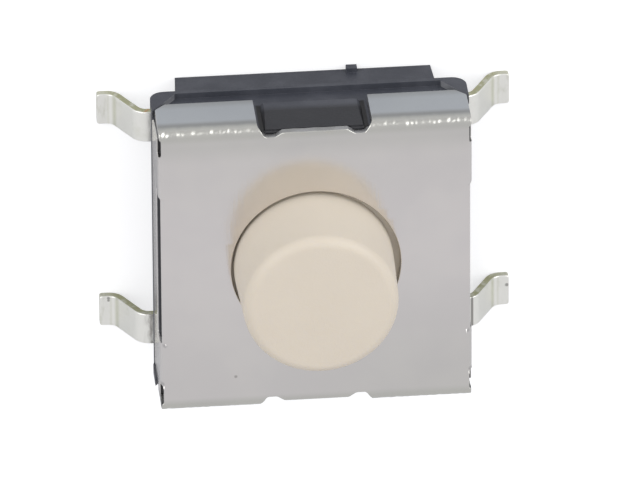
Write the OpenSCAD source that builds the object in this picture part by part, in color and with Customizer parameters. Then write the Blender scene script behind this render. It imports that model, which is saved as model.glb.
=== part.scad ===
// Surface-mount tactile push button switch with a stamped cover and four gull-wing terminals.
// Frame: origin under the centre of the body on the solder plane, +Z along the button,
// +X towards one pair of terminal tips, +Y towards the face that carries the moulding gate.

/* [Cover] */
// Width of the cover across the side flaps, along X
cover_w = 6.05; // [5.9:0.05:6.3]
// Length of the cover across the notched flaps, along Y
cover_l = 6.2; // [6.1:0.05:6.4]
// Height of the cover's top face above the solder plane
cover_top_z = 2.7; // [2.6:0.05:3]
// Thickness of the stamped sheet
sheet_t = 0.15; // [0.12:0.01:0.2]
// Inner radius of the folds
fold_r = 0.03; // [0.02:0.01:0.1]
// Diameter of the hole for the button
hole_d = 3.28; // [3.2:0.01:3.6]
// Depth of the two notched flaps below the top face
end_flap_drop = 1.12; // [1:0.02:1.2]
// Chamfer on the lower corners of the notched flaps
end_flap_chamfer = 0.2; // [0.05:0.01:0.3]
// Width of the notch in the middle of each of those flaps
notch_w = 2.2; // [1.8:0.05:2.6]
// Width of one relief ear at its mouth
ear_w = 0.48; // [0.3:0.02:0.6]
// How far an ear reaches past the tongue's edge
ear_depth = 0.095; // [0.08:0.005:0.2]
// Slope of an ear's side walls, measured across
ear_slope = 0.15; // [0.05:0.01:0.2]
// How far an ear's outer slope runs up the side of the notch
ear_run = 0.2; // [0.1:0.01:0.25]
// How far the tongue between the ears stands back from the cover's end
tongue_setback = 0.125; // [0.1:0.005:0.25]
// Width of a side flap
side_flap_w = 5.7; // [5.4:0.02:5.74]
// Width of the side folds, between the relief slots at their ends
side_fold_w = 5.04; // [4.6:0.02:5.2]
// How far the relief slots reach in from the cover's sides
relief_depth = 0.035; // [0.03:0.005:0.1]
// How far below the top face the relief slots end
relief_drop = 0.24; // [0.2:0.01:0.3]
// Depth of a side flap below the top face
side_flap_drop = 1.5; // [1.3:0.02:1.5]
// Length of the latch window in a side flap
window_l = 3.22; // [2.4:0.02:3.6]
// Height of the latch window
window_h = 0.5; // [0.4:0.01:0.6]
// How far below the top face the window begins, inside the fold
window_drop = 0.08; // [0.06:0.01:0.16]

/* [Base] */
// Gap between the moulded base and the sheet around it
sheet_gap = 0.02; // [0.01:0.005:0.04]
// Height of the base's underside above the solder plane
standoff = 0.05; // [0.02:0.01:0.1]
// Width of the lower block, along X
block_w = 5.03; // [4.8:0.01:5.1]
// Length of the lower block, along Y
block_l = 5.7; // [5.4:0.05:5.8]
// How much narrower the block is at its underside, on each side
block_draft = 0.04; // [0.02:0.01:0.08]
// Height of the flange's underside above the solder plane
flange_z = 1; // [0.98:0.01:1.1]
// Height of the lip that runs under the notched flaps
lip_h = 0.1; // [0.06:0.01:0.16]
// How far the lip stays inside the cover's ends
shoulder_setback = 0.05; // [0.02:0.01:0.1]
// How far the corner shoulders stand out past the cover's sides
shoulder_proud = 0.03; // [0.01:0.01:0.05]
// Width of the shoulder under each corner, where it meets the lip
shoulder_w = 0.5; // [0.4:0.02:0.6]
// Radius on the lower outer corners of the flange
shoulder_r = 0.28; // [0.1:0.02:0.3]
// Side gap between the keying lug and the notch
lug_gap = 0.08; // [0.04:0.01:0.12]
// How far the keying lug's face stays inside the cover's outline
lug_setback = 0.1; // [0.05:0.01:0.14]
// How far the keying lug reaches below the notched flaps
lug_drop = 0.03; // [0.01:0.01:0.08]
// Height of the lug's upright land, above which it leans back
lug_land = 0.3; // [0.2:0.01:0.5]
// How far the lug leans back at its top
lug_lean = 0.04; // [0.02:0.01:0.06]
// Chamfer on the lug's upright edges
lug_chamfer = 0.12; // [0.04:0.01:0.16]
// End gap between a latch lug and its window
latch_gap = 0.03; // [0.02:0.01:0.06]
// Height of a latch lug
latch_h = 0.32; // [0.2:0.01:0.34]
// How far a latch lug's tip stays inside the flap's outer face
latch_setback = 0.02; // [0:0.01:0.05]
// Height of the upright tip of a latch lug
latch_nose = 0.12; // [0.05:0.01:0.16]
// Diameter of the cavity for the button's flange and the snap dome
cavity_d = 4.2; // [4.1:0.02:4.4]
// Chamfer around the mouth of the cavity
cavity_chamfer = 0.08; // [0.02:0.01:0.1]
// Width of the moulding gate's stub
gate_w = 0.21; // [0.1:0.01:0.3]
// Height of the moulding gate's stub
gate_h = 0.16; // [0.1:0.01:0.3]
// How far the gate's stub stands out of the block
gate_len = 0.06; // [0.03:0.01:0.12]
// Distance of the gate's stub from the middle
gate_x = 0.94; // [0.5:0.02:1.5]

/* [Contacts] */
// Distance between the two terminal rows, along Y
terminal_pitch = 4.5; // [4.4:0.05:4.6]
// Distance across the terminal tips, along X
tip_span = 8; // [7.8:0.1:9]
// Width of a terminal
terminal_w = 0.65; // [0.5:0.01:0.7]
// Thickness of the contact strip
strip_t = 0.15; // [0.12:0.01:0.2]
// Height of the strip's upper face where it leaves the base
strip_top_z = 0.94; // [0.88:0.01:0.96]
// Flat length of a foot, tip to bend
foot_l = 0.16; // [0.1:0.02:0.6]
// Angle of the sloping leg above the solder plane
leg_angle = 60; // [50:1:75]
// Inner radius of the terminal bends
bend_r = 0.2; // [0.12:0.01:0.22]
// Radius on the corners of a foot
foot_corner_r = 0.06; // [0.03:0.01:0.12]
// Width of the tongue that carries the centre contact
tongue_w = 0.9; // [0.7:0.02:1.2]
// Diameter of the coined centre contact
pip_d = 0.8; // [0.5:0.02:0.9]
// Height of the coined centre contact
pip_h = 0.04; // [0.02:0.01:0.06]
// Width of an arm under the rim of the dome
arm_w = 0.6; // [0.4:0.02:0.7]
// Distance between the arms' middles
arm_pitch = 3.3; // [3.1:0.02:3.4]
// Gap between one frame's arms and the other frame's bar
frame_gap = 0.45; // [0.3:0.05:0.8]

/* [Button and dome] */
// Height of the button's top face above the solder plane
button_top_z = 4.3; // [3.8:0.1:5]
// Diameter of the button where it leaves the cover
button_d = 3.1; // [3:0.01:3.12]
// Diameter of the button at its top
button_tip_d = 2.98; // [2.8:0.01:3]
// Radius around the button's top edge
button_rim_r = 0.2; // [0.1:0.01:0.3]
// How far the button rests off centre in the hole, along X
button_shift = -0.04; // [-0.05:0.01:0.05]
// Diameter of the flange that keeps the button in
flange_d = 3.96; // [3.8:0.02:4]
// Thickness of that flange
flange_t = 0.36; // [0.25:0.01:0.45]
// Gap between the flange and the cover
flange_gap = 0.02; // [0.01:0.01:0.04]
// Diameter of the pusher under the button
pusher_d = 1.3; // [0.8:0.05:1.6]
// Gap between the pusher and the dome
pusher_gap = 0.01; // [0.01:0.005:0.02]
// Travel of the button
travel = 0.25; // [0.15:0.01:0.25]
// Diameter of the snap dome
dome_d = 3.84; // [3.6:0.02:3.9]
// Thickness of the dome's sheet
dome_t = 0.06; // [0.04:0.01:0.08]

/* [Hidden] */
$fn = 64;
cut = 0.5;
slack = 0.02;
bend_steps = 12;

fold_out = fold_r + sheet_t;
cover_in_z = cover_top_z - sheet_t;
fold_z = cover_top_z - fold_out;
fold_x = cover_w / 2 - fold_out;
fold_y = cover_l / 2 - fold_out;
tongue_y = cover_l / 2 - tongue_setback;
ear_y = tongue_y - ear_depth;
corner_x = cover_w / 2 - slack;
relief_x = cover_w / 2 - relief_depth;
end_flap_z = cover_top_z - end_flap_drop;
side_flap_z = cover_top_z - side_flap_drop;
window_z = cover_top_z - window_drop - window_h;
relief_z = cover_top_z - relief_drop;

wall_x = cover_w / 2 - sheet_t - sheet_gap;
wall_y = cover_l / 2 - sheet_t - sheet_gap;
base_top_z = cover_in_z - sheet_gap;
base_top_r = fold_r + sheet_gap;
lip_y = cover_l / 2 - shoulder_setback;
lip_x = cover_w / 2 + shoulder_proud;
lip_z = flange_z + lip_h;
shoulder_z = end_flap_z + end_flap_chamfer;
lug_w = notch_w - 2 * lug_gap;
lug_y = cover_l / 2 - lug_setback;
lug_z = end_flap_z - lug_drop;
latch_l = window_l - 2 * latch_gap;
latch_x = cover_w / 2 - latch_setback;
latch_z = window_z + latch_gap;

bar_y = terminal_pitch / 2;
tip_x = tip_span / 2;
floor_z = strip_top_z;
mid_r = bend_r + strip_t / 2;
leg_drop = strip_top_z - strip_t;
leg_run = 2 * mid_r * sin(leg_angle) + (leg_drop - 2 * mid_r * (1 - cos(leg_angle))) / tan(leg_angle);
bend_x = tip_x - foot_l - leg_run;

dome_rise = pip_h + travel;
dome_in_r = (pow(dome_d / 2, 2) + pow(dome_rise, 2)) / (2 * dome_rise);
dome_out_r = dome_in_r + dome_t;
dome_top_z = floor_z + dome_rise + dome_t;
dome_mid_z = floor_z + dome_rise - dome_in_r;
flange_top_z = cover_in_z - flange_gap;
pusher_z = dome_top_z + pusher_gap;

// Both signs, for what is repeated left and right or front and back.
module both_x() { for (s = [0, 1]) mirror([s, 0, 0]) children(); }
module both_y() { for (s = [0, 1]) mirror([0, s, 0]) children(); }

// Carries a profile drawn in X and Z along Y, centred, over the given length.
module along_y(length) {
    rotate([90, 0, 0]) linear_extrude(length, center = true) children();
}

// Carries a profile drawn in Y and Z along X, centred, over the given length.
module along_x(length) {
    rotate([90, 0, 90]) linear_extrude(length, center = true) children();
}

// A quarter ring in the first quadrant: the section of a fold.
module quarter_ring(r_out, r_in) {
    intersection() {
        difference() {
            circle(r_out);
            circle(r_in);
        }
        square(r_out);
    }
}

// A flap seen from its end: a root inside the top, the fold, then the straight drop. Drawn from
// the fold's centre.
module flap_section(r_out, r_in, drop) {
    translate([-slack, r_in]) square([slack, r_out - r_in]);
    quarter_ring(r_out, r_in);
    translate([r_in, -drop]) square([r_out - r_in, drop]);
}

// The cover's flat top: its corners stop at the relief slots, and a tongue at each end reaches
// past the folds.
module top_outline() {
    square([2 * fold_x, 2 * fold_y], center = true);
    square([notch_w, 2 * tongue_y], center = true);
    difference() {
        square([2 * relief_x, 2 * fold_y], center = true);
        square([2 * cover_w, side_fold_w], center = true);
    }
}

// What the die takes out of one end: the notch, its two relief ears and the tongue's outline.
module notch_outline() {
    half = notch_w / 2;
    mouth = half - ear_w;
    polygon([
        [-half, cover_l], [-half, ear_y + ear_run], [ear_slope - half, ear_y],
        [-mouth - ear_slope, ear_y], [-mouth, tongue_y], [mouth, tongue_y],
        [mouth + ear_slope, ear_y], [half - ear_slope, ear_y], [half, ear_y + ear_run],
        [half, cover_l]
    ]);
}

// The lower outline of a notched flap, with its two chamfers.
module end_flap_outline() {
    polygon([
        [-corner_x, cover_top_z], [-corner_x, shoulder_z],
        [end_flap_chamfer - corner_x, end_flap_z], [corner_x - end_flap_chamfer, end_flap_z],
        [corner_x, shoulder_z], [corner_x, cover_top_z]
    ]);
}

// One end of the cover: fold and flap, trimmed to the chamfered outline.
module end_flap() {
    intersection() {
        translate([0, fold_y, fold_z]) along_x(2 * corner_x)
            flap_section(fold_out, fold_r, fold_z - end_flap_z);
        translate([0, fold_y + fold_out / 2, 0]) along_y(2 * fold_out) end_flap_outline();
    }
}

// One side of the cover: fold and flap, with the latch window and the relief slots at the fold's ends.
module side_flap() {
    difference() {
        translate([fold_x, 0, fold_z]) along_y(side_flap_w)
            flap_section(fold_out, fold_r, fold_z - side_flap_z);
        translate([fold_x, -window_l / 2, window_z]) cube([cover_w, window_l, window_h]);
        both_y() translate([fold_x, side_fold_w / 2, relief_z]) cube(cover_w);
    }
}

module cover() {
    color([0.75, 0.75, 0.75])
    difference() {
        union() {
            translate([0, 0, cover_in_z]) linear_extrude(sheet_t) top_outline();
            both_x() side_flap();
            both_y() difference() {
                end_flap();
                translate([-notch_w / 2, 0, 0]) cube([notch_w, cover_l, cover_in_z]);
            }
        }
        both_y() translate([0, 0, cover_in_z - cut]) linear_extrude(2 * cut) notch_outline();
        cylinder(h = 2 * cover_top_z, d = hole_d);
    }
}

// A plate standing on its edge with both lower corners rounded.
module rounded_low(width, low, high, r) {
    translate([-width / 2, low + r]) square([width, high - low - r]);
    translate([r - width / 2, low]) square([width - 2 * r, high - low]);
    for (s = [-1, 1]) translate([s * (width / 2 - r), low + r]) circle(r);
}

// The lower block, drafted on all four sides.
module block() {
    intersection() {
        along_y(block_l) draft_section(block_w / 2);
        along_x(block_w) draft_section(block_l / 2);
    }
}
module draft_section(half) {
    polygon([
        [block_draft - half, standoff], [half - block_draft, standoff], [half, flange_z + slack],
        [-half, flange_z + slack]
    ]);
}

// The core that the cover drops over, rounded along its top edges to clear the folds.
module core() {
    intersection() {
        along_y(2 * wall_y) core_section(wall_x);
        along_x(2 * wall_x) core_section(wall_y);
    }
}
module core_section(half) {
    translate([-half, flange_z]) square([2 * half, base_top_z - base_top_r - flange_z]);
    translate([base_top_r - half, flange_z]) square([2 * (half - base_top_r), base_top_z - flange_z]);
    for (s = [-1, 1]) translate([s * (half - base_top_r), base_top_z - base_top_r]) circle(base_top_r);
}

// The flange: a lip under each notched flap that rises to a shoulder at each corner.
module flange() {
    difference() {
        along_y(2 * lip_y) rounded_low(2 * lip_x, flange_z, shoulder_z - slack, shoulder_r);
        both_y() translate([0, wall_y + cut, 0]) along_y(2 * cut) polygon([
            [shoulder_w - lip_x, lip_z], [lip_x - shoulder_w, lip_z],
            [lip_x, shoulder_z - slack], [lip_x, cover_top_z], [-lip_x, cover_top_z],
            [-lip_x, shoulder_z - slack]
        ]);
        both_x() translate([wall_x, -side_flap_w / 2 - slack, side_flap_z - slack])
            cube([cut, side_flap_w + 2 * slack, cover_top_z]);
    }
}

// The lug that fills the notch and keys the cover: upright edges broken, upper part leaning back
// to guide the cover on.
module key_lug() {
    half = lug_w / 2;
    intersection() {
        linear_extrude(base_top_z) polygon([
            [-half, 0], [half, 0], [half, lug_y - lug_chamfer], [half - lug_chamfer, lug_y],
            [lug_chamfer - half, lug_y], [-half, lug_y - lug_chamfer]
        ]);
        along_x(notch_w) polygon([
            [0, lug_z], [lug_y, lug_z], [lug_y, lug_z + lug_land],
            [lug_y - lug_lean, base_top_z - slack], [0, base_top_z - slack]
        ]);
    }
}

// The latch lug: the window's lower edge snaps under its nose, and its top slopes to let it by.
module latch_lug() {
    along_y(latch_l) polygon([
        [wall_x - cut, latch_z], [latch_x, latch_z], [latch_x, latch_z + latch_nose],
        [wall_x, latch_z + latch_h], [wall_x - cut, latch_z + latch_h]
    ]);
}

module base() {
    color([0.33, 0.34, 0.38])
    difference() {
        union() {
            block();
            translate([gate_x - gate_w / 2, 0, standoff])
                cube([gate_w, block_l / 2 + gate_len, gate_h]);
            core();
            flange();
            both_y() key_lug();
            both_x() latch_lug();
        }
        translate([0, 0, floor_z]) cylinder(h = cover_top_z, d = cavity_d);
        translate([0, 0, base_top_z - cavity_chamfer])
            cylinder(h = 2 * cavity_chamfer, d1 = cavity_d, d2 = cavity_d + 4 * cavity_chamfer);
        centre_frame_blank();
        outer_frame_blank();
    }
}

// One direction in the section, and an arc of points between two of them.
function dir(a) = [cos(a), sin(a)];
function arc(centre, r, from, to) = [for (i = [0:bend_steps])
    centre + r * dir(from + (to - from) * i / bend_steps)];

// Half of the bent strip seen from the side, out along its upper face and back along its lower one.
function gull_wing() = let (
    high = [bend_x, strip_top_z - strip_t - bend_r],
    low = [tip_x - foot_l, strip_t + bend_r],
    upper = concat(arc(high, bend_r + strip_t, 90, 90 - leg_angle), arc(low, bend_r, 270 - leg_angle, 270)),
    lower = concat(arc(low, bend_r + strip_t, 270, 270 - leg_angle), arc(high, bend_r, 90 - leg_angle, 90))
) concat(upper, [[tip_x, strip_t], [tip_x, 0]], lower);
function mirrored(points) = [for (i = [len(points) - 1:-1:0]) [-points[i][0], points[i][1]]];

// One strip across the body with a gull wing at each end, its feet rounded at the corners.
module terminal_bar() {
    translate([0, bar_y, 0]) intersection() {
        along_y(terminal_w) polygon(concat(gull_wing(), mirrored(gull_wing())));
        linear_extrude(cover_top_z) rounded_bar(2 * tip_x, terminal_w, foot_corner_r);
    }
}
module rounded_bar(length, width, r) {
    square([length - 2 * r, width], center = true);
    square([length, width - 2 * r], center = true);
    for (x = [-1, 1], y = [-1, 1]) translate([x * (length / 2 - r), y * (width / 2 - r)]) circle(r);
}

// The centre frame without its coined contact: bar and tongue.
module centre_frame_blank() {
    mirror([0, 1, 0]) terminal_bar();
    translate([-tongue_w / 2, -bar_y, strip_top_z - strip_t]) cube([tongue_w, bar_y + tongue_w / 2, strip_t]);
}

// The outer frame: bar and the two arms under the dome's rim.
module outer_frame_blank() {
    terminal_bar();
    arm_end = frame_gap + terminal_w / 2 - bar_y;
    both_x() translate([arm_pitch / 2 - arm_w / 2, arm_end, strip_top_z - strip_t])
        cube([arm_w, bar_y - arm_end, strip_t]);
}

module contact_frame_centre() {
    color([0.83, 0.83, 0.8]) {
        centre_frame_blank();
        translate([0, 0, strip_top_z - strip_t / 2]) cylinder(h = strip_t / 2 + pip_h, d = pip_d);
    }
}

module contact_frame_outer() {
    color([0.83, 0.83, 0.8]) outer_frame_blank();
}

module snap_dome() {
    color([0.8, 0.8, 0.78])
    intersection() {
        translate([0, 0, dome_mid_z]) difference() {
            sphere(dome_out_r, $fn = 96);
            sphere(dome_in_r, $fn = 96);
        }
        translate([0, 0, floor_z]) cylinder(h = travel + 4 * dome_t, d = dome_d);
    }
}

module button() {
    root_r = button_d / 2;
    tip_r = button_tip_d / 2;
    flange_low_z = flange_top_z - flange_t;
    color([0.87, 0.83, 0.74])
    translate([button_shift, 0, 0]) rotate_extrude($fn = 96) {
        translate([0, flange_low_z]) square([flange_d / 2, flange_t]);
        translate([0, pusher_z]) square([pusher_d / 2, flange_low_z - pusher_z]);
        polygon([
            [0, flange_top_z - slack], [root_r, flange_top_z - slack], [root_r, cover_in_z],
            [tip_r, button_top_z - button_rim_r], [0, button_top_z - button_rim_r]
        ]);
        translate([0, button_top_z - button_rim_r]) square([tip_r - button_rim_r, button_rim_r]);
        intersection() {
            translate([tip_r - button_rim_r, button_top_z - button_rim_r]) circle(button_rim_r);
            translate([0, button_top_z - button_rim_r]) square([tip_r, button_rim_r]);
        }
    }
}

base();
contact_frame_centre();
contact_frame_outer();
snap_dome();
button();
cover();
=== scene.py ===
import math
import bpy
import numpy as np
from mathutils import Matrix, Vector
from mathutils.geometry import delaunay_2d_cdt


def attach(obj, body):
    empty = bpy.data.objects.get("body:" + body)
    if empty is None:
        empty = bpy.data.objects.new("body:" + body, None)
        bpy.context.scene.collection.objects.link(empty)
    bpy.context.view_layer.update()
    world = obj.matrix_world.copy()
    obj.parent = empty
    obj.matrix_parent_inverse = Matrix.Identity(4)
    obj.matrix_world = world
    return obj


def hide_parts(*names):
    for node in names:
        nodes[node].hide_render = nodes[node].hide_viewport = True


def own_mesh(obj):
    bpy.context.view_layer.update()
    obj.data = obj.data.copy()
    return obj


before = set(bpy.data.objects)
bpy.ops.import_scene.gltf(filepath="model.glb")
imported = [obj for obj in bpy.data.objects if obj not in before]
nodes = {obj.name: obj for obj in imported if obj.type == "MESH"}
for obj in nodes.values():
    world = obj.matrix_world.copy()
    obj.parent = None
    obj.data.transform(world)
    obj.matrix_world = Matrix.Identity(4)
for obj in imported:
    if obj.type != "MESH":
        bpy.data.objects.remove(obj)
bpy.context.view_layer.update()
mm = 0.001
print("frame loaded:", ", ".join(sorted(nodes)))


# Shader maths: a Wire stands for one socket, and arithmetic on it adds Math nodes.
class Wire:
    def __init__(self, tree, socket):
        self.tree = tree
        self.socket = socket

    def math(self, operation, *others):
        values = dict(enumerate([self, *others]))
        return self.tree.node("ShaderNodeMath", {"operation": operation}, values)

    def __add__(self, other): return self.math("ADD", other)
    def __sub__(self, other): return self.math("SUBTRACT", other)
    def __mul__(self, other): return self.math("MULTIPLY", other)
    def __pow__(self, other): return self.math("POWER", other)
    def __abs__(self): return self.math("ABSOLUTE")

    def over(self, low, high):  # 0 below low, 1 above high, smooth between; high may be the lower one
        inputs = {"Value": self, "From Min": low, "From Max": high}
        return self.tree.node("ShaderNodeMapRange", {"interpolation_type": "SMOOTHSTEP"}, inputs)

    def near(self, middle, reach):  # 1 at middle, 0 at reach away from it
        return abs(self - middle).over(reach, 0.0)


class Shader:
    def __init__(self, name):
        self.material = bpy.data.materials.new(name)
        self.material.use_nodes = True
        self.tree = self.material.node_tree
        self.tree.nodes.clear()
        self.out = self.tree.nodes.new("ShaderNodeOutputMaterial")

    def node(self, kind, settings=None, inputs=None, output=0):  # inputs are wires or values
        made = self.tree.nodes.new(kind)
        for key, value in (settings or {}).items():
            setattr(made, key, value)
        for key, value in (inputs or {}).items():
            if isinstance(value, Wire):
                self.tree.links.new(value.socket, made.inputs[key])
            else:
                made.inputs[key].default_value = value
        return Wire(self, made.outputs[output])

    def place(self):  # the object's own coordinates, in millimetres, as three wires
        coords = self.node("ShaderNodeTexCoord", output="Object")
        scaled = self.node("ShaderNodeVectorMath", {"operation": "SCALE"}, {0: coords, "Scale": 1000.0})
        split = self.tree.nodes.new("ShaderNodeSeparateXYZ")
        self.tree.links.new(scaled.socket, split.inputs[0])
        return scaled, [Wire(self, split.outputs[i]) for i in range(3)]

    def facing(self):  # the surface's own direction, as three wires
        coords = self.node("ShaderNodeTexCoord", output="Normal")
        split = self.tree.nodes.new("ShaderNodeSeparateXYZ")
        self.tree.links.new(coords.socket, split.inputs[0])
        return [Wire(self, split.outputs[i]) for i in range(3)]

    def stretched(self, vector, factors):
        return self.node("ShaderNodeVectorMath", {"operation": "MULTIPLY"}, {0: vector, 1: factors})

    def noise(self, vector, scale, detail=3.0, roughness=0.55):
        return self.node("ShaderNodeTexNoise", {}, {
            "Vector": vector, "Scale": scale, "Detail": detail, "Roughness": roughness})

    def spot(self, x, y, where):  # 1 in the middle of a small mark, 0 outside it: x, y, radius
        reach = ((x - where[0]) ** 2.0 + (y - where[1]) ** 2.0).math("SQRT")
        return reach.over(where[2] * 1.5, where[2] * 0.5)

    def mixed(self, factor, first, second):  # colours are triples or wires
        values = {"Factor": factor, "A": first, "B": second}
        made = self.tree.nodes.new("ShaderNodeMix")
        made.data_type = "RGBA"
        for key, value in values.items():
            socket = next(s for s in made.inputs if s.name == key and s.enabled)
            if isinstance(value, Wire):
                self.tree.links.new(value.socket, socket)
            else:
                socket.default_value = (*value, 1.0) if key != "Factor" else value
        return Wire(self, next(s for s in made.outputs if s.enabled))

    def bump(self, height, distance, normal=None):
        inputs = {"Height": height, "Distance": distance, "Strength": 1.0}
        if normal is not None:
            inputs["Normal"] = normal
        return self.node("ShaderNodeBump", {}, inputs)

    def rounded(self, radius):  # softens the light on sharp edges
        return self.node("ShaderNodeBevel", {"samples": 6}, {"Radius": radius})

    def finish(self, **values):  # base_color=wire sets the socket Base Color, and so on
        inputs = {}
        for key, value in values.items():
            name = " ".join(word.capitalize() for word in key.split("_"))
            inputs[name.replace("Specular Level", "Specular IOR Level")] = value
        surface = self.node("ShaderNodeBsdfPrincipled", {}, inputs)
        self.tree.links.new(surface.socket, self.out.inputs["Surface"])
        return self.material


# Blanks: closed loops of points in mm on the flat sheet, material on the left of each loop.
def withoutRepeats(points):
    apart = np.linalg.norm(points - np.roll(points, 1, axis=0), axis=1)
    return points[apart > 1e-6]


def fourfold(quarter):  # a quarter outline, from the first axis round to the second, taken all round
    half = np.vstack((quarter, (np.array(quarter) * (-1, 1))[::-1]))
    return withoutRepeats(np.vstack((half, (half * (1, -1))[::-1])))


# Each corner becomes a small arc, a quadratic curve: (1 - t) squared times its start, twice
# t (1 - t) times the corner and t squared times its end. It takes at most 0.4 of a side.
def softened(loop, radius):
    before = np.roll(loop, 1, axis=0) - loop
    after = np.roll(loop, -1, axis=0) - loop
    spans = [np.linalg.norm(side, axis=1, keepdims=True) for side in (before, after)]
    reach = np.minimum(radius, 0.4 * np.minimum(*spans))
    first, last = (loop + side / span * reach for side, span in zip((before, after), spans))
    t = np.linspace(0, 1, 5)[:, None, None]
    curve = (1 - t) ** 2 * first + 2 * t * (1 - t) * loop + t ** 2 * last
    return withoutRepeats(curve.transpose(1, 0, 2).reshape(-1, 2))


def circleLoop(radius, count=160):
    angles = np.linspace(0, -2 * math.pi, count, endpoint=False)  # clockwise, so the material is outside
    return radius * np.stack((np.cos(angles), np.sin(angles)), axis=1)


def boxLoop(low, high):  # clockwise too
    (x0, y0), (x1, y1) = low, high
    return np.array([(x0, y1), (x1, y1), (x1, y0), (x0, y0)])


def crossed(loop, columns, rows):  # adds a point where an edge of the loop crosses a line of the grid
    shortest = 0.005
    out = []
    for start, end in zip(loop, np.roll(loop, -1, axis=0)):
        span = np.linalg.norm(end - start)
        cuts = []
        for axis, lines in ((0, columns), (1, rows)):
            if abs(end[axis] - start[axis]) > 1e-6:
                cuts += list((lines - start[axis]) / (end[axis] - start[axis]))
        kept = [0.0]
        for cut in sorted(cuts):
            if min(cut - kept[-1], 1 - cut) * span > shortest:
                kept.append(cut)
        out += [start + (end - start) * cut for cut in kept]
    return np.array(out)


slotZone = ((2.95, 2.5), (3.1, 2.87))  # x and y of the cover's relief slots, in mm
slotShare = 0.3  # of the rolled edge there, so that the slots keep their width


# Every edge moves into the material and the corners are mitred: a point moves by the sum of its
# two edges' inward directions, times twice the distance over that sum's square.
def inset(loop, distance):
    low, high = slotZone
    tight = np.all((np.abs(loop) > low) & (np.abs(loop) < high), axis=1)
    distance = np.where(tight, distance * slotShare, distance)[:, None]
    before, after = loop - np.roll(loop, 1, axis=0), np.roll(loop, -1, axis=0) - loop
    sides = [np.stack((-edge[:, 1], edge[:, 0]), 1) / np.linalg.norm(edge, axis=1)[:, None]
             for edge in (before, after)]
    middle = sides[0] + sides[1]
    return loop + middle * 2 * distance / np.sum(middle ** 2, axis=1, keepdims=True)


def within(points, loops):  # which points lie in the material: an odd number of edges to their right
    odd = np.zeros(len(points), bool)
    for loop in loops:
        (x0, y0), (x1, y1) = loop.T, np.roll(loop, -1, axis=0).T
        px, py = points[:, :1], points[:, 1:]
        spans = (y0 > py) != (y1 > py)
        slope = np.where(y1 == y0, 1.0, y1 - y0)
        odd ^= (np.sum(spans & (px < x0 + (py - y0) * (x1 - x0) / slope), axis=1) % 2).astype(bool)
    return odd


def clearOf(points, loops, least):  # which points are further than least from every edge
    clear = np.ones(len(points), bool)
    for loop in loops:
        run = np.roll(loop, -1, axis=0) - loop
        parts = max(1, len(points) // 2000)  # keeps the arrays small
        for part in np.array_split(np.arange(len(points)), parts):
            away = points[part][:, None, :] - loop[None]
            along = np.clip(np.sum(away * run, axis=2) / np.sum(run ** 2, axis=1), 0, 1)
            clear[part] &= np.min(np.linalg.norm(away - along[..., None] * run, axis=2), axis=1) > least
    return clear


# Where a strip's points lie once it is bent. Out along its neutral fibre the direction turns by
# distance over radius in each bend; straights add distance times direction, bends add radius times
# the change of sine and cosine; height over the fibre is added across the direction.
def bentPath(distance, height, bends):
    out, up, angle = (np.zeros_like(distance) for _ in range(3))
    heading = last = 0.0
    for begins, radius, turn in bends:
        side = np.sign(turn)
        straight = np.clip(distance - last, 0, begins - last)
        bent = np.clip(distance - begins, 0, radius * abs(turn)) / radius * side
        out += straight * math.cos(heading)
        out += side * radius * (np.sin(heading + bent) - math.sin(heading))
        up -= straight * math.sin(heading)
        up += side * radius * (np.cos(heading + bent) - math.cos(heading))
        angle += bent
        heading += turn
        last = begins + radius * abs(turn)
    straight = np.clip(distance - last, 0, None)
    out += straight * math.cos(heading) + height * np.sin(angle)
    up += height * np.cos(angle) - straight * math.sin(heading)
    return out, up


# The net of a blank's face: the rims' points, then the grid's, in triangles that keep every edge
# of the rims. All turn anticlockwise: the cross product of two of their sides is positive.
def blankNet(rims, grid):
    edges, first = [], 0
    for rim in rims:
        ring = first + np.arange(len(rim))
        edges += list(zip(ring.tolist(), np.roll(ring, -1).tolist()))
        first += len(rim)
    flat = np.vstack((*rims, grid))
    places = [Vector(point) for point in flat.tolist()]
    _, _, triangles, origins, _, _ = delaunay_2d_cdt(places, edges, [], 0, 1e-7)
    index = np.array([where[0] if where else -1 for where in origins])
    triangles = index[np.array([face for face in triangles if len(face) == 3])]
    triangles = triangles[np.all(triangles >= 0, axis=1)]
    triangles = triangles[within(flat[triangles].mean(axis=1), rims)]
    a, b, c = (flat[triangles[:, i]] for i in range(3))
    clockwise = (b - a)[:, 0] * (c - a)[:, 1] - (b - a)[:, 1] * (c - a)[:, 0] < 0
    triangles[clockwise] = triangles[clockwise][:, ::-1]
    return flat, triangles


roundSteps = 4  # quads across each rounded edge


# The section of a cut edge from the upper face to the lower: how far in from the outline, and the
# height over the middle of the sheet. Each rounding is a quarter circle, in by the radius times
# (1 - sine) and down or up by the radius times (1 - cosine).
def cutSection(edge, thickness):
    lean = np.linspace(0, math.pi / 2, roundSteps + 1)[1:]
    setIns, drops = 1 - np.sin(lean), 1 - np.cos(lean)
    above, below = edge
    upper = np.stack((above * setIns, thickness / 2 - above * drops), axis=1)
    lower = np.stack((below * setIns, below * drops - thickness / 2), axis=1)
    return np.vstack((upper, lower[::-1]))


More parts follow.
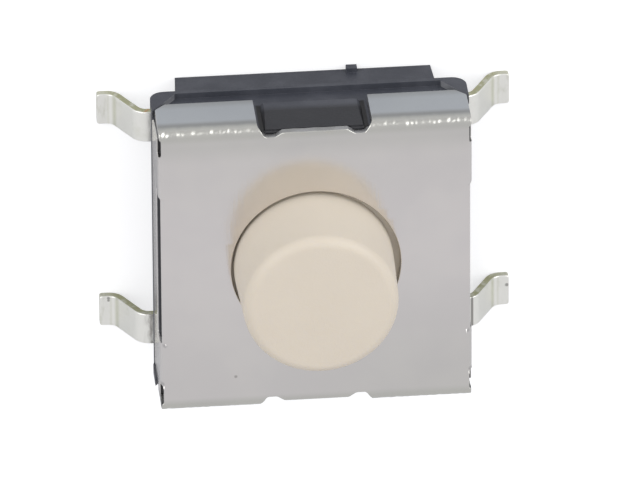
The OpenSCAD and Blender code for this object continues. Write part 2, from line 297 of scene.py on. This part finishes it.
# A stamped piece. The blank's loops, set in by the rounded edge, and the grid's points make one
# net for the upper and the lower face, and rings of quads along each loop make the cut edge, with
# edge[0] the upper rounding and edge[1] the lower. fold gives every point of the flat blank, with
# its height over the middle of the sheet, its place in the part, and lift adds what is pressed up
# there. The grid is given by its columns and rows and its dense points.
def stampedSheet(name, loops, grid, thickness, edge, fold, lift, materials):
    columns, rows, dense = grid
    loops = [crossed(loop, columns, rows) for loop in loops]
    tops, bottoms = ([inset(loop, r) for loop in loops] for r in edge)
    inner = np.array(np.meshgrid(columns, rows)).reshape(2, -1).T
    inner = np.vstack((inner, dense)) if len(dense) else inner
    inner = inner[within(inner, tops)]
    inner = inner[clearOf(inner, tops, 0.008)]  # mm, so that no triangle is a sliver
    flat, triangles = blankNet(tops, inner)
    lowFlat = np.vstack((*bottoms, inner))
    count = len(flat)
    half = np.full(count, thickness / 2)
    points = [fold(flat, half + lift(flat)), fold(lowFlat, -half + lift(lowFlat))]
    faces = triangles.tolist() + (triangles[:, ::-1] + count).tolist()
    cutFaces = [0] * len(faces)
    total, first = 2 * count, 0
    for loop in loops:
        size = len(loop)
        rings = [first + np.arange(size)]
        for setIn, height in cutSection(edge, thickness):
            ring = inset(loop, setIn)
            points.append(fold(ring, np.full(size, height) + lift(ring)))
            rings.append(total + np.arange(size))
            total += size
        rings.append(count + first + np.arange(size))
        for step, (upper, lower) in enumerate(zip(rings, rings[1:])):
            quads = np.stack((upper, lower, np.roll(lower, -1), np.roll(upper, -1)), axis=1)
            faces += quads.tolist()
            cutFaces += [int(step >= roundSteps)] * size  # the upper rounding keeps the sheet's finish
        first += size
    mesh = bpy.data.meshes.new(name)
    mesh.from_pydata((np.vstack(points) * mm).tolist(), [], faces)
    mesh.polygons.foreach_set("material_index", cutFaces)
    return finished(name, mesh, materials)


def finished(name, mesh, materials):
    for material in materials:
        mesh.materials.append(material)
    mesh.polygons.foreach_set("use_smooth", np.ones(len(mesh.polygons), bool))
    mesh.validate()
    piece = bpy.data.objects.new(name, mesh)
    bpy.context.scene.collection.objects.link(piece)
    weights = piece.modifiers.new("even_normals", "WEIGHTED_NORMAL")
    weights.keep_sharp = False
    return piece


# A turned piece: the profile's radius and height, in mm, carried round an upright axis. The ring
# at each profile point is radius times cosine and sine of the angle; ends on the axis close it.
def turned(name, profile, centre, count, materials):
    angles = np.linspace(0, 2 * math.pi, count, endpoint=False)
    radius, height = profile[1:-1].T
    rings = np.stack((centre + np.outer(radius, np.cos(angles)), np.outer(radius, np.sin(angles)),
                      np.repeat(height[:, None], count, axis=1)), axis=2).reshape(-1, 3)
    poles = [(centre, 0, profile[0, 1]), (centre, 0, profile[-1, 1])]
    index = np.arange(len(radius) * count).reshape(-1, count)
    around = np.roll(index, -1, axis=1)
    quads = np.stack((index[:-1], index[1:], around[1:], around[:-1]), axis=2).reshape(-1, 4)
    top, bottom = len(rings), len(rings) + 1
    caps = [(top, a, b) for a, b in zip(index[0].tolist(), around[0].tolist())]
    caps += [(bottom, b, a) for a, b in zip(index[-1].tolist(), around[-1].tolist())]
    mesh = bpy.data.meshes.new(name)
    mesh.from_pydata((np.vstack((rings, poles)) * mm).tolist(), [], quads.tolist() + caps)
    return finished(name, mesh, materials)


def dress(name, material):
    piece = nodes[name]
    piece.data.materials.clear()
    piece.data.materials.append(material)


coverLook = {
    "steel": (0.8, 0.77, 0.745),
    "shadedSteel": (0.697, 0.683, 0.65),  # the same sheet with painted shade, towards the near right corner
    # painted shade: the folds darker than the flat
    "foldShadeSteel": (0.63, 0.627, 0.581),
    # painted reflection: the end flaps darker and bluer, as they mirror the floor in the body's shadow
    "flapShadeSteel": (0.558, 0.586, 0.606),
    "shadeBandSteel": (0.4, 0.408, 0.398),  # painted shade on the flap beside its fold and at its lower edge
    "roughness": 0.112,
    "foldRoughness": 0.25,
    "foldStart": 2.8,  # mm from the middle, where the folds begin
    "speck": (-1.57, -2.38, 0.03),  # a grain of dirt on the flat: x, y, radius in mm
    "dirt": (0.2, 0.19, 0.17),
    "glintShadeSpots": ((2.935, -1.632, 0.04), (2.985, -2.49, 0.035)),  # painted shade at the ends of the windows and slots, over glints on their rounded edges
    # the colour of that painted shade
    "glintShadeSteel": (0.3, 0.3, 0.3),
    "cutSteel": (0.5, 0.5, 0.5),
    "cutShade": (0.42, 0.42, 0.41),
    # painted shade in the relief slots
    "slotShade": (0.05, 0.05, 0.05),
    "cutRoughness": 0.42,
}


def coverSteel(look):
    s = Shader("satin_stamped_steel")
    spot, (x, y, z) = s.place()
    cloud = s.noise(spot, 0.9, 2.0)
    grain = s.noise(s.stretched(spot, (26.0, 1.6, 26.0)), 1.0, 4.0)
    fine = s.noise(spot, 60.0, 2.0)
    fold = abs(y).over(look["foldStart"], look["foldStart"] + 0.16) * z.over(2.3, 2.46)
    dirt = s.spot(x, y, look["speck"]) * z.over(2.6, 2.69)
    # painted shade: the flat darker towards the near right corner and near the far fold
    nearShade = y.over(0.4, -3.0) * (x.over(-2.5, 2.5) * 0.45 + 0.5)
    farShade = y.over(0.8, 2.6) * 0.35 + y.over(2.3, 2.8) * 0.7
    tone = s.mixed(nearShade + farShade, look["steel"], look["shadedSteel"])
    # painted shade: the folds darker than the flat
    tone = s.mixed(fold, tone, look["foldShadeSteel"])
    # painted reflection: the end flaps darker and bluer, as they mirror the shadowed floor
    tone = s.mixed(abs(y).over(3.08, 3.095) * z.over(2.5, 2.44), tone, look["flapShadeSteel"])
    # painted shade: dark bands along the end flaps, beside the fold and at the lower edge
    shadeBand = z.near(2.45, 0.16).math("MAXIMUM", z.over(1.85, 1.58) * 0.7)
    tone = s.mixed(shadeBand * abs(y).over(3.06, 3.09), tone, look["shadeBandSteel"])
    shade = s.mixed(cloud.over(0.3, 0.7), (0.98, 0.98, 0.985), (1.015, 1.015, 1.01))
    colour = s.node("ShaderNodeVectorMath", {"operation": "MULTIPLY"}, {0: tone, 1: shade})
    colour = s.mixed(dirt * 0.5, colour, look["dirt"])
    roughness = (grain - 0.5) * 0.08 + (cloud - 0.5) * 0.05 + look["roughness"]
    roughness = roughness + fold * (look["foldRoughness"] - look["roughness"]) + dirt * 0.3
    # painted shade that hides glints on the rounded edges at the ends of the windows and slots
    for glintSpot in look["glintShadeSpots"]:
        darkening = s.spot(abs(x), y, glintSpot) * z.over(2.5, 2.55) * 0.4
        colour = s.mixed(darkening, colour, look["glintShadeSteel"])
    normal = s.bump(grain * 0.05 + fine * 0.03, 0.03 * mm)
    return s.finish(base_color=colour, metallic=1.0, roughness=roughness, normal=normal)


def cutSteel(look):
    s = Shader("sheared_steel_edge")
    spot, (x, y, z) = s.place()
    score = s.noise(s.stretched(spot, (40.0, 40.0, 5.0)), 1.0, 3.0)
    cloud = s.noise(spot, 4.0, 2.0)
    colour = s.mixed(cloud.over(0.3, 0.7), look["cutSteel"], look["cutShade"])
    # painted shade on the cut edges down in the relief slots
    slot = abs(x).over(2.8, 2.84) * abs(y).over(2.5, 2.53) * z.over(2.4, 2.44) * y.over(3.0, 2.9)
    colour = s.mixed(slot * 0.9, colour, look["slotShade"])
    normal = s.bump(score, 0.008 * mm)
    roughness = (score - 0.5) * 0.2 + look["cutRoughness"]
    return s.finish(base_color=colour, metallic=1.0, roughness=roughness, normal=normal)


# The cover's blank, a quarter of it: side flap, relief slot, corner, notched flap with its chamfer
# and relief ear, tongue. Folds turn on the neutral fibre.
coverShape = {
    "thickness": 0.15,
    "foldX": 2.845,
    "foldY": 2.92,
    "middleZ": 2.625,
    "foldRadius": 0.105,
    "quarter": [
        (4.33, 0), (4.33, 2.85), (3.09, 2.85),  # side flap
        (3.09, 2.52), (2.965, 2.52), (2.965, 2.9), (3.005, 2.93),  # relief slot and corner
        (3.005, 3.825), (2.805, 4.025), (1.1, 4.025),  # end flap
        (1.1, 3.035), (0.95, 2.88), (0.77, 2.88), (0.62, 2.975), (0, 2.975)],  # relief ear and tongue
    "corner": 0.035,
    "holeRadius": 1.64,
    "window": ((2.948, -1.61), (3.41, 1.61)),
    "edge": (0.014, 0.008),  # rolled over by the die above, sharper below
    "tongueHalf": 0.86,
    "fading": (2.44, 2.62),  # mm along, between which the side fold fades into the flat corner
    "cornerReach": 3.03,
    "plain": (0, 4.4, 0.2),  # the grid's lines: from, to, step
    "margin": 0.1,  # mm without plain lines on each side of a fold's own
    "foldSteps": 10,
    "slotRows": (2.43, 2.63, 0.012),
    "crumpled": {"across": (0.87, 3.01, 0.024), "along": (-0.06, 0.26, 0.0165)},
    "offGrid": (0.0011, 0.0007),  # keeps the dense points off the grid's lines
}


# The cover's folds: past a fold line the sheet turns down by a right angle, the side flaps along X
# and the end flaps along Y. The side fold fades out at the relief slot, by three times the square
# of the share that is left less twice its cube.
def coverFold(flat, height):
    look = coverShape
    u, v = np.abs(flat).T
    start, stop = look["fading"]
    fade = np.clip((stop - v) / (stop - start), 0, 1)
    fade = np.where(u > look["cornerReach"], 1, fade * fade * (3 - 2 * fade))
    side = (u > look["foldX"]) & (fade > 0)
    end = (v > look["foldY"]) & (u > look["tongueHalf"])
    x, sideZ = bentPath(np.where(side, u, 0), height, [(look["foldX"], look["foldRadius"], math.pi / 2)])
    x, sideZ = fade * x + (1 - fade) * u, fade * sideZ + (1 - fade) * height
    y, endZ = bentPath(np.where(end, v, 0), height, [(look["foldY"], look["foldRadius"], math.pi / 2)])
    x, y = np.where(side, x, u), np.where(end, y, v)
    z = look["middleZ"] + np.where(side, sideZ, np.where(end, endZ, height))
    return np.stack((x * np.sign(flat[:, 0]), y * np.sign(flat[:, 1]), z), 1)


# The end folds are slightly crumpled where the sheet was stretched: a sum of short waves with
# chance lengths, directions and phases, strongest in the middle of the fold. It falls off there
# with the exponential of minus (distance over spread) squared.
crumpleShape = {
    "seed": 11,
    "waves": 16,
    "lengths": (0.1, 0.4),
    "lean": 1.1,  # radians either way of the fold's own direction
    "size": 0.0052,
    "farSize": 0.002,  # the fold at the other end is smoother
    "swing": 3,  # how far the sum of the waves goes either way, roughly
    "middle": 0.09,  # mm along, from where the fold begins
    "spread": 0.11,
}


def crumple(flat):
    look = crumpleShape
    chance = np.random.default_rng(look["seed"])
    u, v = flat.T
    height = np.zeros(len(flat))
    for _ in range(look["waves"]):
        turns = 2 * math.pi / chance.uniform(*look["lengths"])
        lean, phase = chance.uniform(-look["lean"], look["lean"]), chance.uniform(0, 2 * math.pi)
        height += np.sin(turns * (u * math.cos(lean) + v * math.sin(lean)) + phase)
    away = np.abs(v) - coverShape["foldY"] - look["middle"]
    size = np.where(v > 0, look["size"], look["farSize"])
    return size * height / look["swing"] * np.exp(-(away / look["spread"]) ** 2)


def coverPiece():
    look = coverShape
    low, high = look["window"]
    outline = softened(fourfold(look["quarter"]), look["corner"])
    right = softened(boxLoop(low, high), look["corner"])
    left = (right * (-1, 1))[::-1]
    length = look["foldRadius"] * math.pi / 2
    steps = look["foldSteps"]
    foldLines = [look[key] + length * np.arange(-1, steps + 2) / steps for key in ("foldX", "foldY")]
    plain = np.arange(*look["plain"])
    lines = []
    for fold in foldLines:
        away = (plain < fold[0] - look["margin"]) | (plain > fold[-1] + look["margin"])
        line = np.concatenate((plain[away], fold))
        lines.append(np.unique(np.concatenate((-line, line))))
    slotRows = np.arange(*look["slotRows"])
    lines[1] = np.unique(np.concatenate((lines[1], slotRows, -slotRows)))
    across = np.arange(*look["crumpled"]["across"])
    across = np.concatenate((-across, across))
    along = look["foldY"] + np.arange(*look["crumpled"]["along"])
    dense = np.array(np.meshgrid(across, np.concatenate((-along, along)))).reshape(2, -1).T
    dense = dense + look["offGrid"]
    loops = [outline, circleLoop(look["holeRadius"]), right, left]
    materials = [coverSteel(coverLook), cutSteel(coverLook)]
    piece = stampedSheet("cover_sheet", loops, (*lines, dense), look["thickness"],
                         look["edge"], coverFold, crumple, materials)
    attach(piece, "housing")
    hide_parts("cover")
    return piece


cover = coverPiece()
print("cover:", len(cover.data.polygons), "faces")


platingLook = {
    "silver": (0.968, 0.968, 0.905),
    "tarnish": (0.72, 0.73, 0.62),
    "cutEdge": (0.56, 0.56, 0.36),
    "copper": (0.66, 0.42, 0.24),
    "roughness": 0.36,
    "cutRoughness": 0.45,
    "shadeBands": (3.67, 3.78),  # mm from the middle, where the foot's bend is painted darker: a painted reflection of darker surroundings
    "marks": ((-3.825, -1.97, 0.03), (-3.825, -2.02, 0.025), (3.96, -2.13, 0.035)),
    "markColour": (0.2, 0.2, 0.18),
    "rootLine": (3.2, 0.045),  # a dark line at the root of one terminal: where, half width
    "rootLineColour": (0.16, 0.15, 0.14),
    "underFlapColour": (0.3, 0.28, 0.25),
}


def silverPlate(look):
    s = Shader("silver_plated_brass")
    spot, (x, y, z) = s.place()
    cloud = s.noise(spot, 3.0, 3.0)
    mottle = s.noise(s.stretched(spot, (9.0, 3.0, 9.0)), 1.0, 3.0)
    drawn = s.noise(s.stretched(spot, (4.0, 30.0, 30.0)), 1.0, 3.0)
    # painted reflection: darker bands across the foot's bend, in the tarnish colour; the mottle and
    # cloud mixed in are real tarnish
    shadeBand = abs(x).near(look["shadeBands"][0], 0.06) * 0.8 + abs(x).near(look["shadeBands"][1], 0.04) * 0.4
    darkening = shadeBand + mottle.over(0.5, 0.75) * abs(x).over(3.7, 3.85) * 0.5 + cloud.over(0.55, 0.8) * 0.3
    colour = s.mixed(darkening.math("MINIMUM", 1.0), look["silver"], look["tarnish"])
    for mark in look["marks"]:
        colour = s.mixed(s.spot(x, y, mark) * z.over(0.1, 0.14) * 0.7, colour, look["markColour"])
    centreStrip = y.over(0.0, -0.1)
    # a dark line along the root of the right lower terminal
    rootLine = x.near(*look["rootLine"]) * centreStrip
    colour = s.mixed(rootLine * 0.85, colour, look["rootLineColour"])
    # the left lower terminal darker, in mottled patches, where it runs below the side flap
    underFlap = x.over(-3.24, -3.08) * x.over(-2.0, -2.5) * centreStrip * mottle.over(0.38, 0.6)
    colour = s.mixed(underFlap * 0.6, colour, look["underFlapColour"])
    roughness = (drawn - 0.5) * 0.2 + darkening * 0.1 + look["roughness"]
    normal = s.bump(drawn * 0.3 + cloud * 0.5 + mottle * 0.4, 0.012 * mm)
    return s.finish(base_color=colour, metallic=1.0, roughness=roughness, normal=normal)


def barePlate(look):
    s = Shader("sheared_brass_edge")
    spot, (x, _, _) = s.place()
    cloud = s.noise(spot, 5.0, 3.0)
    score = s.noise(s.stretched(spot, (30.0, 30.0, 8.0)), 1.0, 3.0)
    bare = cloud.over(0.56, 0.66) * abs(x).over(3.45, 3.15)
    _, ny, _ = s.facing()
    smear = cloud.over(0.52, 0.36) * 0.5  # plating dragged over the edge
    smear = smear.math("MAXIMUM", abs(x).over(3.6, 3.9) * 0.5).math("MAXIMUM", abs(ny).over(0.7, 0.5))
    colour = s.mixed(smear, look["cutEdge"], look["silver"])
    colour = s.mixed(bare, colour, look["copper"])
    normal = s.bump(score, 0.01 * mm)
    roughness = (score - 0.5) * 0.2 + look["cutRoughness"]
    return s.finish(base_color=colour, metallic=1.0, roughness=roughness, normal=normal)


# The contact frames: a strip across the body with a gull wing at each end. The wings bend down
# and back up on the neutral fibre, to a flat foot.
frameShape = {
    "thickness": 0.15,
    "middleZ": 0.865,
    "footZ": 0.075,
    "reach": 4.0,  # from the middle to a foot's tip
    "footFlat": 0.16,
    "bendRadius": 0.275,
    "bend": math.radians(60),
    "barY": 2.25,
    "barHalf": 0.325,
    "tongueHalf": 0.45,
    "tongueEnd": 0.45,
    "armInner": 1.35,
    "armOuter": 1.95,
    "armEnd": -1.475,
    "corner": 0.06,
    "edge": (0.018, 0.008),
    "pipRadius": 0.4,
    "pipHeight": 0.04,
    "pipRim": (0.88, 1.12),  # shares of the radius between which the contact rises
    "pipPower": 0.7,
    "columns": (0, 3, 0.2),  # the grid's lines: from, to, step; the bends have their own
    "rows": (-2.497, 2.603, 0.125),  # a little off the outline's own points
    "pipLines": (-0.443, 0.467, 0.03),
    "bendSteps": 12,
}


# Both bends together drop by 2 radius (1 - cosine of the bend), and the straight slope between them
# by its length times the sine; both bends take 2 radius sine across, and the slope its cosine.
def wingPlaces(look):
    radius, bend = look["bendRadius"], look["bend"]
    drop = look["middleZ"] - look["footZ"] - 2 * radius * (1 - math.cos(bend))
    slope = drop / math.sin(bend)
    first = look["reach"] - look["footFlat"] - 2 * radius * math.sin(bend) - slope * math.cos(bend)
    second = first + radius * bend + slope
    return first, second, second + radius * bend + look["footFlat"]


firstBend, secondBend, stripTip = wingPlaces(frameShape)  # mm along the flat strip


def frameFold(flat, height):
    radius, bend = frameShape["bendRadius"], frameShape["bend"]
    bends = [(firstBend, radius, bend), (secondBend, radius, -bend)]
    x, z = bentPath(np.abs(flat[:, 0]), height, bends)
    return np.stack((x * np.sign(flat[:, 0]), flat[:, 1], z + frameShape["middleZ"]), 1)


def unpressed(flat):  # nothing stands up from the sheet
    return np.zeros(len(flat))


# The centre contact, pressed up with a rounded shoulder: its height times the share of the way in
# from the foot of the shoulder to its top, to a power under 1.
def coined(flat):
    top, foot = frameShape["pipRim"]
    far = np.hypot(*flat.T) / frameShape["pipRadius"]
    share = np.clip((foot - far) / (foot - top), 0, 1)
    return frameShape["pipHeight"] * share ** frameShape["pipPower"]


def centreOutline(look):
    bar, half = look["barY"], look["barHalf"]
    return np.array([
        (-stripTip, -bar - half), (stripTip, -bar - half), (stripTip, half - bar),
        (look["tongueHalf"], half - bar), (look["tongueHalf"], look["tongueEnd"]),
        (-look["tongueHalf"], look["tongueEnd"]), (-look["tongueHalf"], half - bar),
        (-stripTip, half - bar)])


def outerOutline(look):
    bar, half = look["barY"], look["barHalf"]
    inner, outer, end = look["armInner"], look["armOuter"], look["armEnd"]
    return np.array([
        (stripTip, bar - half), (stripTip, bar + half), (-stripTip, bar + half), (-stripTip, bar - half),
        (-outer, bar - half), (-outer, end), (-inner, end), (-inner, bar - half),
        (inner, bar - half), (inner, end), (outer, end), (outer, bar - half)])


def contactFrames():
    look = frameShape
    steps = look["bendSteps"]
    arc = look["bendRadius"] * look["bend"] * np.arange(steps + 1) / steps
    straights = [secondBend - 0.4, secondBend - 0.2, secondBend + arc[-1] + 0.05]
    line = np.concatenate((np.arange(*look["columns"]), straights, firstBend + arc, secondBend + arc))
    columns = np.unique(np.concatenate((-line, line)))
    rows = np.arange(*look["rows"])
    around = np.arange(*look["pipLines"])
    pip = np.array(np.meshgrid(around, around)).reshape(2, -1).T
    materials = [silverPlate(platingLook), barePlate(platingLook)]
    strips = [("contact_frame_centre", centreOutline(look), pip, coined),
              ("contact_frame_outer", outerOutline(look), [], unpressed)]
    made = []
    for name, outline, dense, lift in strips:
        loops = [softened(outline, look["corner"])]
        piece = stampedSheet(name + "_strip", loops, (columns, rows, dense), look["thickness"],
                             look["edge"], frameFold, lift, materials)
        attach(piece, "housing")
        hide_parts(name)
        made.append(piece)
    return made


for strip in contactFrames():
    print(strip.name + ":", len(strip.data.polygons), "faces")


buttonLook = {
    "ivory": (0.682, 0.616, 0.514),
    "shade": (0.636, 0.568, 0.471),
    "roughness": 0.42,
}


def buttonPlastic(look):
    s = Shader("ivory_plastic")
    spot, _ = s.place()
    cloud = s.noise(spot, 0.8, 2.0)
    skin = s.noise(spot, 22.0, 2.0)
    colour = s.mixed(cloud.over(0.3, 0.8) * 0.35, look["ivory"], look["shade"])
    roughness = (skin - 0.5) * 0.12 + look["roughness"]
    normal = s.bump(skin, 0.004 * mm)
    return s.finish(base_color=colour, roughness=roughness, normal=normal, subsurface_weight=0.15,
                    subsurface_radius=(1.0, 0.9, 0.6), subsurface_scale=0.3 * mm, specular_level=0.3)


buttonShape = {
    "shift": -0.04,  # mm along X, of the button's axis
    "sides": 144,
    "corners": [  # radius, height and rounding of each corner of the profile, from the top down
        (1.49, 4.3, 0.2),
        (1.55, 2.53, 0.01),
        (1.98, 2.53, 0.03),
        (1.98, 2.17, 0.03),
        (0.65, 2.17, 0.02),
        (0.65, 1.3, 0.05),
    ],
}


# A corner's arc, from one edge of the profile to the next: the mean of its start, the corner and
# its end with the weights (1 - t) squared, root two times t (1 - t), and t squared.
def arcSteps(corner, before, after, rounding, count=9):
    towards, onwards = before - corner, after - corner
    start = corner + towards / np.linalg.norm(towards) * rounding
    end = corner + onwards / np.linalg.norm(onwards) * rounding
    t = np.linspace(0, 1, count)[:, None]
    first, middle, last = (1 - t) ** 2, math.sqrt(2) * t * (1 - t), t ** 2
    return (first * start + middle * corner + last * end) / (first + middle + last)


def buttonPiece(look):
    corners = np.array(look["corners"])
    stops = np.vstack(([0, corners[0, 1]], corners[:, :2], [0, corners[-1, 1]]))
    arcs = [arcSteps(corner, before, after, rounding) for before, corner, after, rounding
            in zip(stops, stops[1:], stops[2:], corners[:, 2])]
    profile = np.vstack((stops[:1], *arcs, stops[-1:]))
    materials = [buttonPlastic(buttonLook)]
    piece = turned("button_moulding", profile, look["shift"], look["sides"], materials)
    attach(piece, "button_body")
    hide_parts("button")
    return piece


button = buttonPiece(buttonShape)
print("button:", len(button.data.polygons), "faces")


baseLook = {
    "plastic": (0.047, 0.051, 0.064),
    "worn": (0.12, 0.126, 0.145),
    # lighter plastic, painted on as a highlight on the ramps and as lightening on the outer sides
    "lightenedPlastic": (0.24, 0.245, 0.26),
    "recessShade": (0.012, 0.012, 0.014),  # painted shade towards the bottom of the notches and windows
    "gap": (0.003, 0.003, 0.003),  # painted shade beside the keying lugs
    "roughness": 0.46,
}


def basePlastic(look):
    s = Shader("charcoal_nylon")
    spot, (x, y, z) = s.place()
    cloud = s.noise(spot, 1.4, 3.0)
    skin = s.noise(spot, 34.0, 3.0)
    _, _, nz = s.facing()
    colour = s.mixed(cloud.over(0.35, 0.75) * 0.35, look["plastic"], look["worn"])
    end = abs(y).over(2.7, 2.8)
    # painted highlight: the upward-facing ramps beside the end flaps, in patches
    ramp = abs(x).over(2.5, 2.58) * end * z.over(1.1, 1.15) * nz.over(0.3, 0.5) * nz.over(0.97, 0.9)
    colour = s.mixed(ramp * cloud.over(0.3, 0.6), colour, look["lightenedPlastic"])
    # painted shade: the keying lugs darker higher up, deep in the notches
    lug = abs(x).over(1.06, 1.03) * end * z.over(1.5, 1.54)
    colour = s.mixed(lug * z.over(1.65, 1.9) * 0.85, colour, look["recessShade"])
    # painted lighter along the base's outer sides below the side flaps
    lightSides = abs(x).over(2.92, 2.96) * abs(y).over(2.88, 2.84) * z.over(2.2, 2.1)
    colour = s.mixed(lightSides * 0.7, colour, look["lightenedPlastic"])
    # painted shade on the latch lugs seen through the cover's windows
    latch = abs(x).over(2.86, 2.89) * z.over(2.15, 2.25) * abs(y).over(1.75, 1.7)
    colour = s.mixed(latch * 0.85, colour, look["recessShade"])
    # painted shade in the gaps beside the keying lugs
    colour = s.mixed(lug * abs(x).over(0.93, 0.98), colour, look["gap"])
    roughness = (skin - 0.5) * 0.2 + latch * 0.25 + look["roughness"]
    normal = s.bump(skin * 0.5 + cloud * 0.4, 0.012 * mm, s.rounded(0.015 * mm))
    return s.finish(base_color=colour, roughness=roughness, normal=normal, specular_level=0.5)


dress("base", basePlastic(baseLook))
print("base dressed")


domeLook = {
    "steel": (0.68, 0.68, 0.66),
    "tarnish": (0.58, 0.56, 0.52),
    "roughness": 0.25,
}


def domeSteel(look):
    s = Shader("silver_clad_spring_steel")
    spot, (x, y, _) = s.place()
    rings = ((x ** 2.0 + y ** 2.0).math("SQRT") * 60.0).math("SINE")
    cloud = s.noise(spot, 2.0, 3.0)
    colour = s.mixed(cloud.over(0.4, 0.7) * 0.4, look["steel"], look["tarnish"])
    normal = s.bump(rings * 0.1 + cloud * 0.3, 0.004 * mm)
    roughness = cloud * 0.1 + look["roughness"]
    return s.finish(base_color=colour, metallic=1.0, roughness=roughness, normal=normal)


# The snap dome: two spheres about one centre, trimmed to a disc that stands on its rim. The inner
# radius is (half width squared + rise squared) / twice the rise.
domeShape = {
    "half": 1.92,
    "rise": 0.29,
    "thickness": 0.06,
    "foot": 0.94,
    "rim": 0.012,  # rounding of the rim
    "pressed": 0.3,  # share of the rise that is left under the pressed button
    "steps": 40,
    "sides": 128,
}


# Points from the axis out: across by radius times sine, up to the middle plus radius times cosine.
def capArc(radius, halfWidth, middle, count):
    angles = np.linspace(0, 1, count) * math.asin(halfWidth / radius)
    return np.stack((radius * np.sin(angles), middle + radius * np.cos(angles)), axis=1)


def domePiece(look):
    half, rise, foot, rim = look["half"], look["rise"], look["foot"], look["rim"]
    inner = (half ** 2 + rise ** 2) / (2 * rise)
    middle = foot + rise - inner
    tops = capArc(inner + look["thickness"], half, middle, look["steps"])
    unders = capArc(inner, half - rim, middle, look["steps"])
    edge = np.array([(half, tops[-1, 1] - rim), (half, foot + rim)])
    tops[-1, 0] -= rim / 2
    profile = np.vstack((tops, edge, unders[::-1]))
    piece = turned("dome_disc", profile, 0.0, look["sides"], [domeSteel(domeLook)])
    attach(piece, "housing")
    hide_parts("snap_dome")
    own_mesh(piece)
    return piece


dome = domePiece(domeShape)
print("dome:", len(dome.data.polygons), "faces")


stageLook = {
    "floorColour": (0.575, 0.58, 0.59),
    "floorSize": 0.6,  # metres
    "shownWhite": 0.62,  # light that the camera sees, so the floor reads as white
    "mirroredWhite": 0.1,  # and what metal and glass see of it
}


def floorSheet(look):
    half = look["floorSize"] / 2
    corners = [(-half, -half, 0), (half, -half, 0), (half, half, 0), (-half, half, 0)]
    mesh = bpy.data.meshes.new("floor")
    mesh.from_pydata(corners, [], [(0, 1, 2, 3)])
    floor = bpy.data.objects.new("floor", mesh)
    bpy.context.scene.collection.objects.link(floor)
    s = Shader("white_paper")
    path = s.tree.nodes.new("ShaderNodeLightPath")
    seen, mirrored, through = (Wire(s, path.outputs[f"Is {kind} Ray"])
                               for kind in ("Camera", "Glossy", "Transmission"))
    glow = seen * look["shownWhite"] + mirrored.math("MAXIMUM", through) * look["mirroredWhite"]
    paper = s.node("ShaderNodeBsdfDiffuse", {}, {"Color": (*look["floorColour"], 1.0)})
    shown = s.node("ShaderNodeEmission", {}, {"Color": (1, 1, 1, 1), "Strength": glow})
    both = s.node("ShaderNodeAddShader", {}, {0: paper, 1: shown})
    s.tree.links.new(both.socket, s.out.inputs["Surface"])
    mesh.materials.append(s.material)


floorSheet(stageLook)


lightLook = {
    "skyColour": (0.969, 0.964, 1.0),
    "skyStrength": 0.71,
    "lamps": {  # where each stands and its size, in metres, and its power
        "left_box": {"at": (-0.26, 0.17, 0.19), "size": 0.3, "watts": 0.46},
        "right_box": {"at": (0.26, 0.17, 0.19), "size": 0.3, "watts": 0.46},
        "fill": {"at": (0.26, 0.27, 0.18), "size": 0.3, "watts": 0.17},
        "sparkle": {"at": (-0.11, 0.29, 0.27), "size": 0.12, "watts": 0.032},
    },
}


def lights(look):
    world = bpy.data.worlds.new("studio")
    world.use_nodes = True
    sky = world.node_tree.nodes["Background"]
    sky.inputs["Color"].default_value = (*look["skyColour"], 1.0)
    sky.inputs["Strength"].default_value = look["skyStrength"]
    bpy.context.scene.world = world
    for name, lamp in look["lamps"].items():
        data = bpy.data.lights.new(name, "AREA")
        data.size = lamp["size"]
        data.energy = lamp["watts"]
        made = bpy.data.objects.new(name, data)
        made.location = lamp["at"]
        made.rotation_mode = "QUATERNION"
        made.rotation_quaternion = (-Vector(lamp["at"])).to_track_quat("-Z", "Y")
        bpy.context.scene.collection.objects.link(made)


lights(lightLook)
print("stage and lights set")


cameraLook = {
    "tilt": 30.35,  # degrees away from straight down, towards +Y
    "turn": -8.96,  # degrees about the upright, towards -X
    "roll": -0.35,
    "distance": 0.2776,  # metres, from the point aimed at
    "aim": (0.0997 * mm, 0.4284 * mm, 2.4613 * mm),
    "focalPixels": 14431.0,
    "frameWidth": 640,
    "sensor": 36.0,
    "clip": (0.01, 5.0),
}


# back points from the aim to the camera; level and upright are turned about it by the roll, as
# cosine times one plus or less sine times the other.
def addCamera(look):
    tilt, turn, roll = (math.radians(look[key]) for key in ("tilt", "turn", "roll"))
    back = Vector((math.sin(tilt) * math.sin(turn), math.sin(tilt) * math.cos(turn), math.cos(tilt)))
    level = Vector((0, 1, 0)).cross(back).normalized()
    upright = back.cross(level)
    right = level * math.cos(roll) + upright * math.sin(roll)
    up = upright * math.cos(roll) - level * math.sin(roll)
    data = bpy.data.cameras.new("camera")
    data.sensor_width = look["sensor"]
    data.lens = look["focalPixels"] / look["frameWidth"] * look["sensor"]
    data.clip_start, data.clip_end = look["clip"]
    camera = bpy.data.objects.new("camera", data)
    heading = Matrix((right, up, back)).transposed().to_4x4()
    camera.matrix_world = Matrix.Translation(Vector(look["aim"]) + back * look["distance"]) @ heading
    bpy.context.scene.collection.objects.link(camera)
    bpy.context.scene.camera = camera


addCamera(cameraLook)
bpy.context.scene.view_settings.view_transform = "Standard"
print("camera set")
